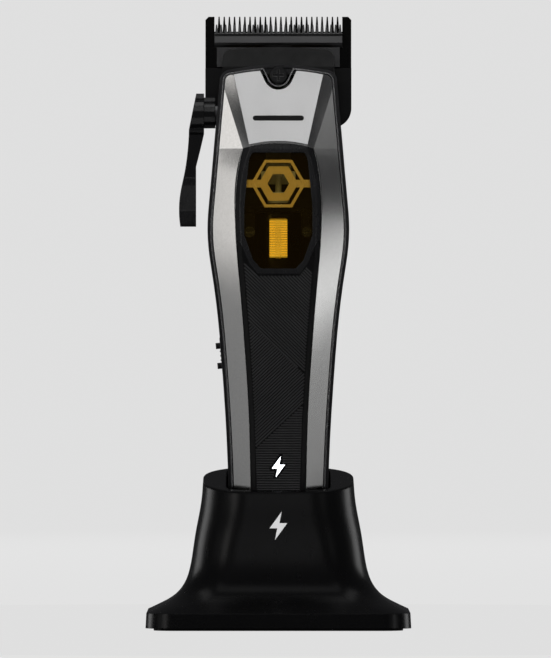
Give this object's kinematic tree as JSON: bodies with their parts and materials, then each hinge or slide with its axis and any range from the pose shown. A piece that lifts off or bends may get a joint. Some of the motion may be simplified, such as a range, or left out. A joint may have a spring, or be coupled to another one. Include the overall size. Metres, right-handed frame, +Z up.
{
  "type": "hair clipper",
  "caption": "Cordless hair clipper with taper lever, adjustable comb blade, moving cutter and amber motor window, standing in a flared charging stand.",
  "frame": {"origin": "middle of the stand's underside, on the surface it stands on", "axes": "+Z up along the docked clipper, -Y to the front face, -X to the side with the taper lever"},
  "size_m": [0.083, 0.078, 0.1925],
  "materials": {
    "stand_gloss": "gloss black moulded plastic",
    "base_matte": "textured black plastic",
    "foot_rubber": "matte rubber",
    "steel": "plain steel",
    "board": "solder mask",
    "gold": "gold plated",
    "print_white": "light print",
    "housing_black": "fine satin black",
    "frame_grey": "dark grey satin",
    "chrome_trim": "polished",
    "chrome_cover": "polished facets",
    "satin_plate": "fine satin silver",
    "black_mark": "black inlay",
    "bezel_black": "gloss black",
    "amber_window": "clear amber",
    "badge_amber": "dark amber plastic",
    "grip_black": "ribbed soft touch",
    "sign_light": "lit diffuser",
    "cowl_black": "grained black",
    "blade_black": "black coated steel",
    "cutter_grey": "dark ground steel",
    "yoke_white": "acetal",
    "motor_dark": "black can",
    "copper": "enamelled copper wire",
    "cell_wrap": "shrink wrap",
    "lever_black": "satin black",
    "pad_grey": "soft pad"
  },
  "bodies": {
    "stand": {"stand_shell": "stand_gloss", "stand_base_plate": "base_matte", "stand_foot_pad": "foot_rubber", "stand_ballast": "steel", "stand_circuit_board": "board", "stand_contact_pins": "gold", "pocket_pad": "pad_grey", "stand_power_inlet": "steel", "stand_screws": "steel", "stand_charge_sign": "print_white"},
    "cutter": {"cutter_blade": "cutter_grey", "cutter_yoke": "yoke_white"},
    "comb": {"blade_carrier": "base_matte", "comb_blade": "blade_black", "blade_screws": "steel"},
    "rotor": {"motor_shaft": "steel", "rotor_core": "steel", "eccentric": "yoke_white"},
    "lever": {"taper_lever": "lever_black", "lever_shaft": "steel", "lever_cam": "yoke_white", "lever_screw": "steel"},
    "switch": {"power_switch": "lever_black"},
    "clipper": {"battery_cell": "cell_wrap", "battery_contacts": "gold", "battery_tray": "base_matte", "charge_contacts": "gold", "contact_plate": "base_matte", "cover_screw": "black_mark", "detent_spring": "steel", "front_cover": "chrome_cover", "front_frame": "frame_grey", "grip_panel": "grip_black", "housing_screws": "steel", "indicator_lens": "sign_light", "main_circuit_board": "board", "motor_bearings": "steel", "motor_bracket": "motor_dark", "motor_can": "motor_dark", "motor_screws": "black_mark", "motor_winding": "copper", "name_plate": "satin_plate", "nose_cowl": "cowl_black", "plate_bar": "black_mark", "rear_housing": "housing_black", "slide_switch": "base_matte", "tension_spring": "steel", "trim_ring": "chrome_trim", "window_badge": "badge_amber", "window_bezel": "bezel_black", "window_lens": "amber_window"}
  },
  "joints": [
    {"name": "clipper_lift", "type": "slide", "parent": "stand", "child": "clipper", "axis": [0, 0, 1], "range_m": [0, 0.03]},
    {"name": "lever_swing", "type": "hinge", "parent": "clipper", "child": "lever", "pos_m": [-0.0235, -0.001, 0.1618], "axis": [1, 0, 0], "range_deg": [0, 50]},
    {"name": "comb_feed", "type": "slide", "parent": "clipper", "child": "comb", "axis": [0, 0, -1], "range_m": [0, 0.0016]},
    {"name": "cutter_stroke", "type": "slide", "parent": "clipper", "child": "cutter", "axis": [1, 0, 0], "range_m": [-0.001, 0.001]},
    {"name": "motor_spin", "type": "hinge", "parent": "clipper", "child": "rotor", "pos_m": [0, -0.006, 0.11], "axis": [0, 0, 1], "continuous": true},
    {"name": "switch_slide", "type": "slide", "parent": "clipper", "child": "switch", "axis": [-0.0872, 0, 0.9962], "range_m": [0, 0.006]}
  ],
  "couplings": [
    {"joint": "lever_swing", "follows": "comb_feed", "rad_per_m": 544.87}
  ]
}
